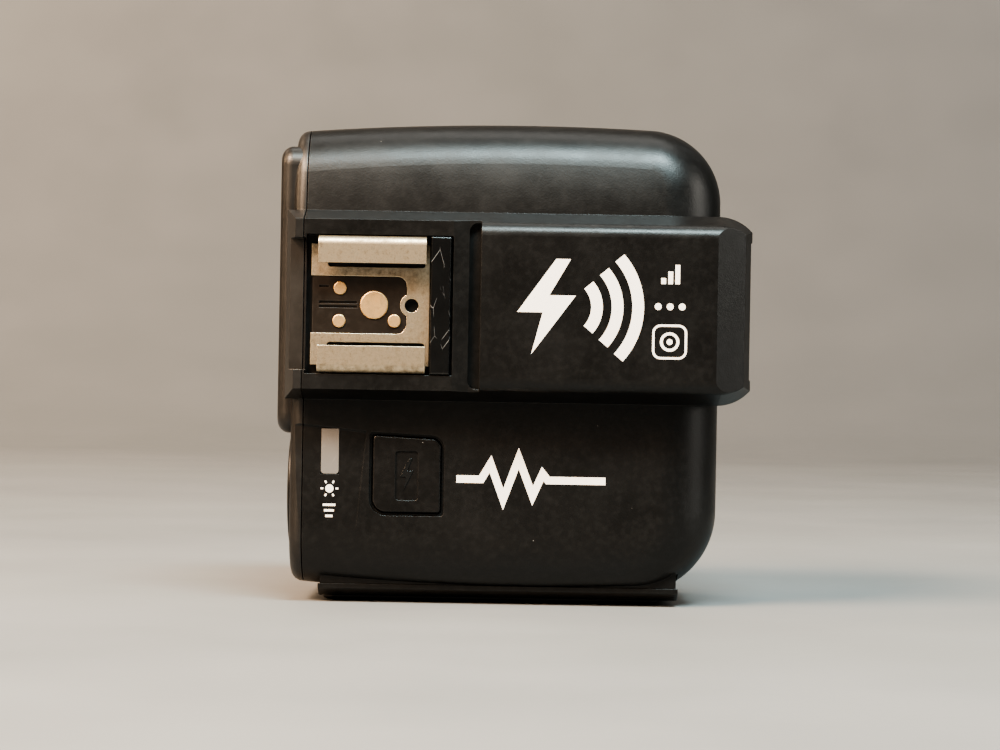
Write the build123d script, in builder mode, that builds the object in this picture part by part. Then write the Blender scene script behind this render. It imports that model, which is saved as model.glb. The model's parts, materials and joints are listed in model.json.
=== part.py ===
from build123d import *
import os

# Wireless flash trigger, resting on its battery side.
# Millimetres. +X points the way the lamp window faces, -Y the way the accessory shoe faces,
# +Z up from the surface it stands on. The origin is the centre of the footprint.

os.makedirs("parts", exist_ok=True)

# ---- Housing ----
rear_x = -34.0
front_x = 32.0
low_z = 1.4
high_z = 74.6
shoulder_y = -19.0
under_y = 17.0
wall = 1.8
crown_x = 2.0
rear_crown = 1.6
front_crown = 1.1
face_crown_z = 56.0
face_crown_radius = 45.0
face_crown_span = 30.0
low_corner = 13.0
high_corner = 11.5
shoulder_radius = 9.0
under_radius = 5.0
rear_edge_radius = 1.8
part_line_y = -9.0
seam_x = -32.0
seam_gap = 0.15
clearance = 0.2
touch_gap = 0.05
pane_gap = 0.1
running_gap = 0.06
over = 2.0

# ---- Spine and nose ----
top_y = -26.0
frame_y = -24.2
spine_z = 45.8
spine_half = 14.45
spine_taper = 17.0
spine_edge_radius = 2.2
end_x = 36.25
spine_rear_x = -34.9
spine_root = 1.0
nose_x = 31.4
nose_half = 12.1
nose_bulge = 0.15
nose_share = 0.27
nose_end_y = -3.0
nose_lip = 0.25
nose_lip_half = 10.5
facet_x = 30.5
facet_drop = 3.2
step_low_x = -6.9
step_high_x = -5.1
step_slope = 0.35
groove_floor_y = -22.9
groove_half = 12.6
groove_corner = 1.3
pocket_rear_x = -31.6
pocket_front_x = -9.3
pocket_half = 10.55
pocket_y = -21.0
ramp_half = 10.0
ramp_depth = 1.1

# ---- Accessory shoe (ISO 518) ----
shoe_x = -21.3
plate_rear_x = -30.9
plate_front_x = -12.9
lip_rear_x = -29.7
lip_front_x = -13.4
shoe_sheet = 0.9
shoe_outer_half = 10.4
lip_gap_half = 6.25
lip_top_y = -25.0
window_half = 4.35
window_front_x = -16.35
window_radius = 1.5
boss_x = -15.6
boss_radius = 1.78
lock_hole_radius = 1.05
centre_contact_radius = 2.15
small_contact_radius = 1.0
small_contact_spots = [(-26.5, 2.5), (-26.6, -2.5), (-18.2, -2.4)]
contact_proud = 0.15
contact_edge = 0.2
small_contact_edge = 0.15
contact_back_y = -18.0
contact_room_x = (-29.0, -16.9)
contact_room_half = 3.75
plate_half = 9.2
insert_gap = 0.1
lip_bend = 1.3
relief_width = 0.9
relief_offset = 6.17
spring_thickness = 0.2
spring_x = (-28.4, -14.2)
spring_bumps_x = (-25.6, -16.6)
spring_bump = 0.75
groove_depth = 0.4
insert_grooves = [(-23.9, -0.5, -0.1), (-23.9, 0.15, 0.55), (-28.2, 2.6, 2.9)]
stop_rear_x = -12.7
stop_front_x = -9.65
stop_half = 10.4
stop_proud = 0.3
stop_edge = 0.25

# ---- Rear panel ----
bezel_low_z = 26.0
bezel_high_z = 70.3
bezel_near_y = -17.0
bezel_far_y = 9.0
bezel_radius = 3.0
bezel_edge = 1.8
display_width = 40.0
display_height = 21.0
window_thickness = 1.0
window_recess = 0.15
window_corner = 0.6
module_edge = 0.5
bezel_rim = 1.9
module_thickness = 2.4
backlight_thickness = 1.1
dial_z = 17.0
dial_y = -3.0
dial_radius = 9.3
dial_face_x = -34.8
dial_edge = 0.4
flange_thickness = 0.5
flange_reach = 0.9
dial_bore = 4.1
dial_ridges = 36
set_radius = 3.9
set_recess = 0.1
set_edge = 0.5
key_y = 12.0
key_spots = {"mode_button": 32.5, "group_button": 42.9, "channel_button": 53.3, "menu_button": 63.7}
key_length = 7.6
key_height = 3.4
key_face_x = -34.7
key_back_x = -32.55
key_travel = 0.45
key_edge = 0.4
ridge_size = (1.5, 0.5)
ridge_depth = 0.35
encoder_radius = 6.4
encoder_bore = 2.4
set_stem = 1.4
set_switch_x = -31.45
mat_y = (9.6, 14.4)
mat_thickness = 0.5
mat_margin = 5.0
mat_corner = 0.8
key_switch_half = 1.5
board_x = -29.4
board_thickness = 1.0
board_y = (-12.0, 14.2)
board_z = (6.5, 69.6)
control_board_corner = 1.5

# ---- Status light and test button ----
light_x = -27.8
light_z = 23.4
light_width = 2.8
light_length = 7.0
panel_line_z = 27.15
panel_slope = 5.5
panel_fade_z = 12.0
panel_depth = 0.35
panel_front_x = -22.2
light_back_y = -14.4
light_leg = (1.8, 4.0)
test_left_x = -21.75
test_right_x = -10.3
test_low_z = 13.7
test_high_z = 26.5
test_drop = 0.5
test_margin = 0.55
test_corner = 2.6
test_high_corner = 2.0
small_corner = 0.5
label_size = (3.5, 7.6)
label_depth = 0.25
test_stem = 1.5
test_switch_y = (-15.6, -15.2)
test_switch_size = (4.4, 3.8)
test_switch_rise = 0.8
test_recess = 0.6
test_travel = 0.5
test_edge = 0.25

# ---- Switch side ----
side_y = 2.0
switch_spots = {"power_switch": -14.0, "lamp_switch": -0.5}
switch_slot = 7.0
switch_width = 4.4
knob_length = 4.2
switch_travel = 2.6
knob_top_z = 74.2
usb_x = 10.5
usb_width = 9.2
usb_height = 3.4
usb_depth = 7.0
usb_recess = 0.5
jack_x = 18.5
jack_bore = 1.25
jack_nose = 2.9
jack_depth = 11.0
jack_low_z = 60.0
jack_recess = 0.25
jack_collar = 1.2
usb_wall = 0.6
usb_tongue = (6.4, 0.7)
slider_top_z = 72.1
slider_flange = 0.8
slider_flange_half = 3.2
slider_nib = 0.8
slider_nib_depth = 1.5
slider_ribs = (0.9, 0.35, 0.4)
switch_half = (4.6, 2.4)
switch_low_z = 65.6
switch_room = (3.0, 1.0, 69.6)

# ---- Battery bay ----
cell_radius = 7.1
cell_length = 49.2
cell_button = 1.3
cell_z = 10.35
cell_pitch = 14.5
cell_y = 0.2
bay_rear_x = -26.6
bay_front_x = 26.0
bay_half = 14.7
tray_wall = 0.8
tray_top_z = 18.3
door_rear_x = -29.6
door_front_x = 26.0
door_half = 15.2
door_skin = 0.7
door_rim_z = 2.9
door_seat = 0.1
door_travel = 3.5
land_half = 15.0
land_inset = 0.3
pad_front_x = 23.4
pad_y = (-9.5, 11.5)
pad_corner = 2.0
pad_edge = 0.4
door_grooves = 5
door_groove_pitch = 1.6
door_groove_half = 7.0
tongue_reach = 1.4
neck_length = 1.5
tongue_width = 4.6
tongue_low_z = 4.6
tongue_high_z = 5.15
tray_low_z = 5.6
cell_edge = 0.5
cell_button_radius = 2.6
contact_thickness = 0.3
contact_plate = (9.0, 6.2, 15.0)
contact_link_z = (9.0, 12.0)
coil_radii = (3.2, 2.6)
coil_wire = 0.7
coil_pitch = 0.5

# ---- Foot (ISO 518) ----
foot_x = -21.3
foot_width = 18.6
foot_plate = 2.0
foot_bottom_y = 25.5
neck_width = 12.3
collar_radius = 8.5
collar_end_y = 22.0
ring_near_y = 17.4
ring_far_y = 20.6
ring_radius = 12.5
ring_lobes = 30
lock_plate_thickness = 0.8
lock_pin_radius = 0.95
foot_pin_radius = 0.8
foot_centre_radius = 1.2
foot_pin_proud = 0.5
foot_pin_top_y = 20.5
foot_pin_room = 1.0
centre_pin_edge = 0.4
small_pin_edge = 0.3
neck_half = 8.0
foot_corner = 0.8
foot_screw_offset = 4.5
lobe_radius = 0.6
lobe_offset = 0.15
lock_plate_radius = 10.4
bracket_half = 7.0
bracket_thickness = 1.2
foot_screw_head = (1.9, 1.2)
driver_slot = (2.4, 0.5, 0.6)

# ---- Screws and boards ----
screw_spots = [(-25.0, 68.0), (25.0, 65.5), (24.5, 25.0), (-22.0, 30.0)]
post_radius = 2.6
boss_outer = 3.0
screw_radius = 1.0
head_radius = 2.0
head_height = 1.4
head_depth = 2.6
main_board_y = -14.2
main_board_thickness = 1.2
main_board_x = (-27.4, 26.0)
main_board_z = (18.8, 68.0)
board_corner = 4.0
radio_x = (2.0, 18.0)
radio_z = (34.0, 46.0)
radio_height = 2.4
radio_corner = 0.6
antenna_x = (2.0, 20.0)
antenna_z = (62.0, 67.2)
antenna_track = 1.2
antenna_height = 0.6
buzzer_spot = (8.0, 27.0)
buzzer_radius = 5.0
buzzer_height = 4.0
buzzer_hole = 0.8

# ---- Lamp ----
lamp_y_range = (-18.6, -5.0)
lamp_half = 9.8
lamp_proud = 0.1
lamp_edge = 0.05
holder_rear_x = 28.6
holder_y = (-16.6, -7.0)
holder_half = 6.0
cup_mouth = (8.4, 10.0)
cup_floor = (5.0, 5.0)
cup_depth = 1.2
led_radius = 1.5
led_x = (27.4, 30.4)
led_dome = 1.4
led_board = (0.8, 6.4, 8.0)

inner_rear_x = rear_x + wall
inner_shoulder_y = shoulder_y + wall
inner_under_y = under_y - wall
inner_low_z = low_z + wall
inner_high_z = high_z - wall
lamp_face_x = end_x - nose_lip
lamp_z_range = (spine_z - lamp_half, spine_z + lamp_half)
lamp_y = (lamp_y_range[0] + lamp_y_range[1]) / 2


def save(piece, name):
    """Label a finished piece and write it to a STEP file of the same name."""
    piece.part.label = name
    export_step(piece.part, f"parts/{name}.step")


def span(low, high):
    """Centre and length of the stretch from low to high."""
    return (low + high) / 2, high - low


def block(x_range, y_range, z_range):
    """A box from its lowest and highest values on each axis."""
    x_mid, x_size = span(*x_range)
    y_mid, y_size = span(*y_range)
    z_mid, z_size = span(*z_range)
    with BuildPart() as piece:
        with Locations((x_mid, y_mid, z_mid)):
            Box(x_size, y_size, z_size)
    return piece.part


def rod(radius, near_y, far_y, spots):
    """Cylinders along Y from near_y to far_y, at each (x, z) spot."""
    with BuildPart() as piece:
        with BuildSketch(Plane.XZ.offset(-far_y)):
            with Locations(*spots):
                Circle(radius)
        extrude(amount=far_y - near_y)
    return piece.part


def face_slab(inset, x_low, x_high):
    """Everything behind the shoe side's face, which curves back above the spine."""
    radius = face_crown_radius - inset
    face_y = shoulder_y + inset
    low = low_z - over
    with BuildPart() as piece:
        with BuildSketch(Plane.YZ.offset(x_low)):
            with BuildLine():
                low_line = Line((under_y + over, low), (face_y, low))
                flat_line = Line(low_line @ 1, (face_y, face_crown_z))
                crown_line = CenterArc((face_y + radius, face_crown_z), radius, 180, -face_crown_span)
                high_line = Line(crown_line @ 1, (under_y + over, (crown_line @ 1).Y))
                Line(high_line @ 1, low_line @ 0)
            make_face()
        extrude(amount=x_high - x_low)
    return piece.part


def body_block(inset):
    """The housing's rounded outer form, or with an inset the hollow inside it."""
    rear = rear_x + inset
    front = front_x - inset
    low = low_z + inset
    high = high_z - inset
    with BuildPart() as piece:
        with BuildSketch(Plane.XZ.offset(inset - under_y)):
            with BuildLine():
                rear_line = Line((rear, low + rear_crown), (rear, high - rear_crown))
                high_side = ThreePointArc(rear_line @ 1, (crown_x, high), (front, high - front_crown))
                front_line = Line(high_side @ 1, (front, low + front_crown))
                ThreePointArc(front_line @ 1, (crown_x, low), rear_line @ 0)
            make_face()
            fillet(vertices().group_by(Axis.X)[-1].sort_by(Axis.Y)[0], low_corner - inset)
            fillet(vertices().group_by(Axis.X)[-1].sort_by(Axis.Y)[-1], high_corner - inset)
        extrude(amount=under_y - shoulder_y - 2 * inset)
        add(face_slab(inset, rear - over, front + over), mode=Mode.INTERSECT)
        flat_face, crown_face = faces().sort_by(Axis.Y)[:2]
        seam = crown_face.edges().sort_by(Axis.Z)[0]
        front_rim = (flat_face.edges() + crown_face.edges()).sort_by(Axis.X)[2:]
        fillet([edge for edge in front_rim if edge.center() != seam.center()], shoulder_radius - inset)
        under_rim = faces().sort_by(Axis.Y)[-1].edges().sort_by(Axis.X)[1:]
        fillet(under_rim, under_radius - inset)
        if inset == 0:
            fillet(faces().sort_by(Axis.X)[0].edges(), rear_edge_radius)
    return piece.part


def side_prism(proud, x_range):
    """The housing's cross-section near the battery side, grown by proud, along X."""
    y_mid, y_size = span(shoulder_y - proud, under_y + proud)
    x_low, x_high = x_range
    floor_z = low_z - proud
    with BuildPart() as piece:
        with BuildSketch(Plane.YZ.offset(x_low)):
            with Locations((y_mid, floor_z + shoulder_radius)):
                Rectangle(y_size, 2 * shoulder_radius)
            fillet(vertices().group_by(Axis.Y)[0].sort_by(Axis.X)[0], shoulder_radius + proud)
            fillet(vertices().group_by(Axis.Y)[0].sort_by(Axis.X)[-1], under_radius + proud)
        extrude(amount=x_high - x_low)
    return piece.part


def spine_plan(half, tip_half):
    """Plan of the spine: straight sides that round in to the nose."""
    tip_mid_x = (nose_x + end_x) / 2 + nose_bulge
    tip_mid_half = half - nose_share * (half - tip_half)
    with BuildSketch() as plan:
        with BuildLine():
            rear_line = Line((spine_rear_x, spine_z - half), (spine_rear_x, spine_z + half))
            high_side = Line(rear_line @ 1, (nose_x, spine_z + half))
            high_mid = (tip_mid_x, spine_z + tip_mid_half)
            high_nose = ThreePointArc(high_side @ 1, high_mid, (end_x, spine_z + tip_half))
            front_line = Line(high_nose @ 1, (end_x, spine_z - tip_half))
            low_mid = (tip_mid_x, spine_z - tip_mid_half)
            low_nose = ThreePointArc(front_line @ 1, low_mid, (nose_x, spine_z - half))
            Line(low_nose @ 1, rear_line @ 0)
        make_face()
    return plan.sketch


def spine_block():
    """The raised spine with its sloped sides, nose facet, lowered shoe frame and step."""
    root_z = (spine_z - spine_half, spine_z + spine_half)
    with BuildPart() as piece:
        with BuildSketch(Plane.XZ.offset(-shoulder_y)):
            add(spine_plan(spine_half, nose_half))
        extrude(amount=shoulder_y - top_y, taper=spine_taper)
        top_edges = faces().sort_by(Axis.Y)[0].edges()
        fillet(top_edges.sort_by(Axis.X)[1:], spine_edge_radius)
        with BuildSketch(Plane.XY.offset(spine_z - spine_half)):
            with BuildLine():
                Polyline(
                    (facet_x, top_y),
                    (end_x + over, top_y + facet_drop * (1 + over / (end_x - facet_x))),
                    (end_x + over, top_y - over),
                    (facet_x, top_y - over),
                    close=True,
                )
            make_face()
            with BuildLine():
                Polyline(
                    (-end_x - over, frame_y),
                    (pocket_front_x, frame_y),
                    (step_low_x, frame_y + step_slope),
                    (step_high_x, frame_y + step_slope),
                    (step_high_x, top_y - over),
                    (-end_x - over, top_y - over),
                    close=True,
                )
            make_face()
        extrude(amount=2 * spine_half, mode=Mode.SUBTRACT)
        with BuildSketch(Plane.XZ.offset(-groove_floor_y)):
            groove_mid_x, groove_width = span(step_low_x, step_high_x)
            with Locations((groove_mid_x, spine_z)):
                Rectangle(groove_width, 2 * groove_half)
            fillet(vertices().group_by(Axis.X)[0], groove_corner)
        extrude(amount=groove_floor_y - top_y + over, mode=Mode.SUBTRACT)
        add(block((rear_x, 0), (shoulder_y, shoulder_y + spine_root), root_z))
    return piece.part


def land_block():
    """The flat land that the battery door lies on, under the crowned side of the housing."""
    with BuildPart() as piece:
        add(side_prism(0, (door_rear_x + land_inset, door_front_x - land_inset)))
        add(block((-end_x, end_x), (-land_half, land_half), (0, shoulder_radius)), mode=Mode.INTERSECT)
    return piece.part


def screw_posts():
    """Posts that the housing screws bite into, trimmed inside the rounded shoulders."""
    with BuildPart() as piece:
        add(rod(post_radius, shoulder_y, part_line_y, screw_spots))
        add(body_block(wall / 2), mode=Mode.INTERSECT)
    return piece.part


def nose_block(x_low, y_far, inset):
    """The nose below the spine, which carries the lamp window."""
    with BuildPart() as piece:
        with BuildSketch(Plane.XZ.offset(-y_far)):
            add(spine_plan(spine_half - inset, nose_half - inset))
        extrude(amount=y_far - shoulder_y)
        add(block((x_low, end_x - inset), (shoulder_y, y_far), (0, high_z)), mode=Mode.INTERSECT)
    return piece.part


def bezel_block():
    """The raised bezel round the display, on the rear panel."""
    bezel_y_mid, bezel_y_size = span(bezel_near_y, bezel_far_y)
    bezel_z_mid, bezel_z_size = span(bezel_low_z, bezel_high_z)
    with BuildPart() as piece:
        with BuildSketch(Plane.YZ.offset(inner_rear_x)):
            with Locations((bezel_y_mid, bezel_z_mid)):
                RectangleRounded(bezel_y_size, bezel_z_size, bezel_radius)
        extrude(amount=-(end_x + inner_rear_x))
        fillet(faces().sort_by(Axis.X)[0].edges(), bezel_edge)
    return piece.part


# ==== Outer form and hollow, shared by the three shells ====

with BuildPart() as outer_form:
    add(body_block(0))
    add(land_block())
    add(spine_block())
    add(nose_block(0, nose_end_y, 0))
    add(bezel_block())
    nose_lip_z = (spine_z - nose_lip_half, spine_z + nose_lip_half)
    nose_face_y = (top_y - over, nose_end_y + over)
    add(block((lamp_face_x, end_x + over), nose_face_y, nose_lip_z), mode=Mode.SUBTRACT)

with BuildPart() as hollow:
    add(body_block(wall))
    spine_room = (spine_z - nose_half + wall, spine_z + nose_half - wall)
    add(block((step_high_x + wall, nose_x - wall), (top_y + wall, shoulder_y + over), spine_room))
    add(block((0, end_x - wall), (lamp_y_range[0] - wall, nose_end_y - wall), spine_room))

with BuildPart() as light_panel:
    with BuildSketch(Plane.YZ.offset(-end_x)):
        with BuildLine():
            Polyline(
                (shoulder_y - over, panel_line_z),
                (shoulder_y, panel_line_z),
                (shoulder_y + panel_depth, panel_line_z - panel_depth),
                (shoulder_y, panel_fade_z),
                (shoulder_y - over, panel_fade_z),
                close=True,
            )
        make_face()
    extrude(amount=end_x + panel_front_x)


def test_outline(margin):
    """Plan of the test button: two opposite corners are well rounded."""
    left = test_left_x + margin
    right = test_right_x - margin
    low = test_low_z + margin
    high = test_high_z - margin
    with BuildSketch() as plan:
        with BuildLine():
            Polyline((left, low), (right, low), (right, high - test_drop), (left, high), close=True)
        make_face()
        corner_radii = (
            ((left, low), test_corner - margin),
            ((right, high - test_drop), test_high_corner - margin),
            ((left, high), small_corner),
            ((right, low), small_corner),
        )
        for corner, radius in corner_radii:
            fillet(plan.vertices().sort_by_distance(corner)[0], radius)
    return plan.sketch


def test_prism(margin, near_y, far_y):
    """The test button's outline, extruded along Y."""
    with BuildPart() as piece:
        with BuildSketch(Plane.XZ.offset(-far_y)):
            add(test_outline(margin))
        extrude(amount=far_y - near_y)
    return piece.part


def key_prism(z, margin, x_range):
    """A rear key's rounded outline, extruded along X."""
    x_low, x_high = x_range
    with BuildPart() as piece:
        with BuildSketch(Plane.YZ.offset(x_low)):
            with Locations((key_y, z)):
                SlotOverall(key_length + 2 * margin, key_height + 2 * margin, rotation=90)
        extrude(amount=x_high - x_low)
    return piece.part


def disc_x(y, z, radius, x_range):
    """A cylinder along X."""
    x_low, x_high = x_range
    with BuildPart() as piece:
        with BuildSketch(Plane.YZ.offset(x_low)):
            with Locations((y, z)):
                Circle(radius)
        extrude(amount=x_high - x_low)
    return piece.part


def disc_z(x, y, radius, z_range):
    """A cylinder along Z."""
    z_low, z_high = z_range
    with BuildPart() as piece:
        with BuildSketch(Plane.XY.offset(z_low)):
            with Locations((x, y)):
                Circle(radius)
        extrude(amount=z_high - z_low)
    return piece.part


def slot_z(x, y, width, height, z_range):
    """A round-ended bar along Z, long side along X."""
    z_low, z_high = z_range
    with BuildPart() as piece:
        with BuildSketch(Plane.XY.offset(z_low)):
            with Locations((x, y)):
                SlotOverall(width, height)
        extrude(amount=z_high - z_low)
    return piece.part


shoe_z_range = (spine_z - pocket_half, spine_z + pocket_half)
ramp_z_range = (spine_z - ramp_half, spine_z + ramp_half)
display_y = (bezel_near_y + bezel_far_y) / 2
display_z = (bezel_low_z + bezel_high_z) / 2
module_y_range = (bezel_near_y + bezel_rim, bezel_far_y - bezel_rim)
module_z_range = (bezel_low_z + bezel_rim, bezel_high_z - bezel_rim)
window_back_x = -end_x + window_recess + window_thickness
light_x_range = (light_x - light_width / 2, light_x + light_width / 2)
light_z_range = (light_z - light_length / 2, light_z + light_length / 2)
contact_room_z = (spine_z - contact_room_half, spine_z + contact_room_half)
panel_hinge = Axis((light_x, shoulder_y, panel_line_z), (0, 1, 0))
bay_y_range = (cell_y - bay_half, cell_y + bay_half)

with BuildPart() as housing:
    add(outer_form.part)
    add(hollow.part, mode=Mode.SUBTRACT)
    # Shoe pocket, its way in and the opening for the contact block
    add(block((pocket_rear_x, pocket_front_x), (top_y - over, pocket_y), shoe_z_range), mode=Mode.SUBTRACT)
    with BuildSketch(Plane.XY.offset(ramp_z_range[0])) as ramp:
        with BuildLine():
            Polyline(
                (pocket_rear_x, pocket_y - shoe_sheet),
                (-end_x - over, pocket_y - shoe_sheet + ramp_depth),
                (-end_x - over, top_y - over),
                (pocket_rear_x, top_y - over),
                close=True,
            )
        make_face()
    extrude(amount=2 * ramp_half, mode=Mode.SUBTRACT)
    through_y = (pocket_y - over, shoulder_y + wall + over)
    add(block(contact_room_x, through_y, contact_room_z), mode=Mode.SUBTRACT)
    # Status light and test button
    add(light_panel.part.rotate(panel_hinge, panel_slope), mode=Mode.SUBTRACT)
    add(block(light_x_range, through_y, light_z_range), mode=Mode.SUBTRACT)
    add(test_prism(0, shoulder_y - over, shoulder_y + test_recess), mode=Mode.SUBTRACT)
    add(test_prism(test_margin - clearance, shoulder_y - over, shoulder_y + wall + over), mode=Mode.SUBTRACT)
    # Lamp window: a shallow seat and a way through
    lamp_seat_x = lamp_face_x - window_thickness
    add(block((lamp_seat_x, end_x), lamp_y_range, lamp_z_range), mode=Mode.SUBTRACT)
    lamp_room = [(low + wall, high - wall) for low, high in (lamp_y_range, lamp_z_range)]
    add(block((lamp_seat_x - 2 * wall, end_x), *lamp_room), mode=Mode.SUBTRACT)
    # Display, dial and keys
    add(block((window_back_x, inner_rear_x + over), module_y_range, module_z_range), mode=Mode.SUBTRACT)
    pane_y_range = (display_y - display_height / 2, display_y + display_height / 2)
    pane_z_range = (display_z - display_width / 2, display_z + display_width / 2)
    add(block((-end_x - over, window_back_x + over), pane_y_range, pane_z_range), mode=Mode.SUBTRACT)
    add(disc_x(dial_y, dial_z, dial_radius + running_gap, (-end_x, inner_rear_x + over)), mode=Mode.SUBTRACT)
    for z in key_spots.values():
        add(key_prism(z, clearance, (-end_x, inner_rear_x + over)), mode=Mode.SUBTRACT)
    # Battery bay's mouth
    add(block((bay_rear_x, bay_front_x), bay_y_range, (-over, inner_low_z + over)), mode=Mode.SUBTRACT)
    # Slide switches, USB port and sync jack
    side_z_range = (inner_high_z - over, high_z + over)
    for x in switch_spots.values():
        add(slot_z(x, side_y, switch_slot, switch_width, side_z_range), mode=Mode.SUBTRACT)
    usb_hole = slot_z(usb_x, side_y, usb_width + clearance, usb_height + clearance, side_z_range)
    add(usb_hole, mode=Mode.SUBTRACT)
    add(disc_z(jack_x, side_y, jack_nose + clearance, side_z_range), mode=Mode.SUBTRACT)


# ==== Shells ====

post_top_y = inner_shoulder_y
board_back_y = main_board_y + main_board_thickness
foot_screw_spots = [
    (foot_x + dx, spine_z + dz)
    for dx in (-foot_screw_offset, foot_screw_offset)
    for dz in (-foot_screw_offset, foot_screw_offset)
]

with BuildPart() as top_shell:
    add(housing.part)
    split(bisect_by=Plane.XZ.offset(-part_line_y), keep=Keep.TOP)
    split(bisect_by=Plane.YZ.offset(seam_x + seam_gap / 2), keep=Keep.TOP)
    add(screw_posts())
    add(rod(screw_radius + touch_gap, post_top_y + wall / 2, part_line_y, screw_spots), mode=Mode.SUBTRACT)
save(top_shell, "top_shell")

with BuildPart() as bottom_shell:
    add(housing.part)
    split(bisect_by=Plane.XZ.offset(-part_line_y - seam_gap), keep=Keep.BOTTOM)
    split(bisect_by=Plane.YZ.offset(seam_x + seam_gap / 2), keep=Keep.TOP)
    add(rod(boss_outer, part_line_y, inner_under_y + wall / 2, screw_spots))
    add(rod(screw_radius + clearance, part_line_y - over, under_y + over, screw_spots), mode=Mode.SUBTRACT)
    add(rod(head_radius + clearance, under_y - head_depth, under_y + over, screw_spots), mode=Mode.SUBTRACT)
    foot_screw_holes = rod(screw_radius + clearance, inner_under_y - over, under_y + over, foot_screw_spots)
    add(foot_screw_holes, mode=Mode.SUBTRACT)
save(bottom_shell, "bottom_shell")

with BuildPart() as rear_shell:
    add(housing.part)
    split(bisect_by=Plane.YZ.offset(seam_x - seam_gap / 2), keep=Keep.BOTTOM)
save(rear_shell, "rear_shell")

with BuildPart() as lamp_window:
    with BuildSketch(Plane.YZ.offset(lamp_seat_x)):
        lamp_y_size = lamp_y_range[1] - lamp_y_range[0]
        with Locations((lamp_y, spine_z)):
            Rectangle(lamp_y_size - clearance, 2 * lamp_half - clearance)
    extrude(amount=window_thickness + lamp_proud)
    fillet(faces().sort_by(Axis.X)[-1].edges(), lamp_edge)
save(lamp_window, "lamp_window")

with BuildPart() as lamp_holder:
    holder_front_x = lamp_seat_x - clearance
    add(block((holder_rear_x, holder_front_x), holder_y, (spine_z - holder_half, spine_z + holder_half)))
    with BuildSketch(Plane.YZ.offset(holder_front_x)):
        with Locations((lamp_y, spine_z)):
            Rectangle(*cup_mouth)
    with BuildSketch(Plane.YZ.offset(holder_rear_x + cup_depth)):
        with Locations((lamp_y, spine_z)):
            Rectangle(*cup_floor)
    loft(mode=Mode.SUBTRACT)
    led_bore = led_radius + clearance / 2
    add(disc_x(lamp_y, spine_z, led_bore, (holder_rear_x - over, holder_front_x)), mode=Mode.SUBTRACT)
save(lamp_holder, "lamp_holder")

with BuildPart() as lamp_led:
    add(disc_x(lamp_y, spine_z, led_radius, led_x))
    fillet(faces().sort_by(Axis.X)[-1].edges(), led_dome)
    with Locations((led_x[0] - led_board[0] / 2, lamp_y, spine_z)):
        Box(*led_board)
save(lamp_led, "lamp_led")

# ==== Accessory shoe ====

plate_top_y = pocket_y - shoe_sheet
plate_z = (spine_z - plate_half, spine_z + plate_half)

with BuildPart() as shoe_rails:
    # Channel section: base, two sides and two lips
    with BuildSketch(Plane.YZ.offset(lip_rear_x)):
        channel_y_mid, channel_height = span(lip_top_y, pocket_y)
        with Locations((channel_y_mid, spine_z)):
            Rectangle(channel_height, 2 * shoe_outer_half)
        fillet(vertices(), lip_bend)
        with Locations((channel_y_mid, spine_z)):
            channel_room = (channel_height - 2 * shoe_sheet, 2 * (shoe_outer_half - shoe_sheet))
            Rectangle(*channel_room, mode=Mode.SUBTRACT)
            Rectangle(2 * channel_height, 2 * lip_gap_half, mode=Mode.SUBTRACT)
    extrude(amount=lip_front_x - lip_rear_x)
    add(block((plate_rear_x, plate_front_x), (plate_top_y, pocket_y), plate_z))
    with BuildSketch(Plane.XZ.offset(-pocket_y)):
        window_x_mid, window_length = span(plate_rear_x - over, window_front_x)
        with Locations((window_x_mid, spine_z)):
            Rectangle(window_length, 2 * window_half)
        fillet(vertices().group_by(Axis.X)[-1], window_radius)
        with Locations((boss_x, spine_z)):
            Circle(boss_radius, mode=Mode.SUBTRACT)
    extrude(amount=shoe_sheet, mode=Mode.SUBTRACT)
    add(rod(boss_radius, plate_top_y, pocket_y, [(boss_x, spine_z)]))
    add(rod(lock_hole_radius, plate_top_y - over, pocket_y + over, [(boss_x, spine_z)]), mode=Mode.SUBTRACT)
    # Relief slots under the lips' edges
    relief_x, relief_length = span(lip_rear_x + lip_bend, lip_front_x - clearance)
    with BuildSketch(Plane.XZ.offset(-pocket_y)):
        with Locations((relief_x, spine_z - relief_offset), (relief_x, spine_z + relief_offset)):
            SlotOverall(relief_length, relief_width)
    extrude(amount=shoe_sheet, mode=Mode.SUBTRACT)
save(shoe_rails, "shoe_rails")

with BuildPart() as shoe_springs:
    strip_y = lip_top_y + shoe_sheet + touch_gap
    strip_inner = lip_gap_half + clearance
    strip_outer = shoe_outer_half - lip_bend
    for side in (-1, 1):
        spring_z = sorted((spine_z + side * strip_inner, spine_z + side * strip_outer))
        add(block(spring_x, (strip_y, strip_y + spring_thickness), spring_z))
        with BuildSketch(Plane.XY.offset(spring_z[0])):
            with Locations(*[(x, strip_y) for x in spring_bumps_x]):
                Circle(spring_bump)
            with Locations((shoe_x, strip_y - spring_bump)):
                Rectangle(spring_x[1] - spring_x[0], 2 * spring_bump, mode=Mode.SUBTRACT)
        extrude(amount=spring_z[1] - spring_z[0])
save(shoe_springs, "shoe_springs")

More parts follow.
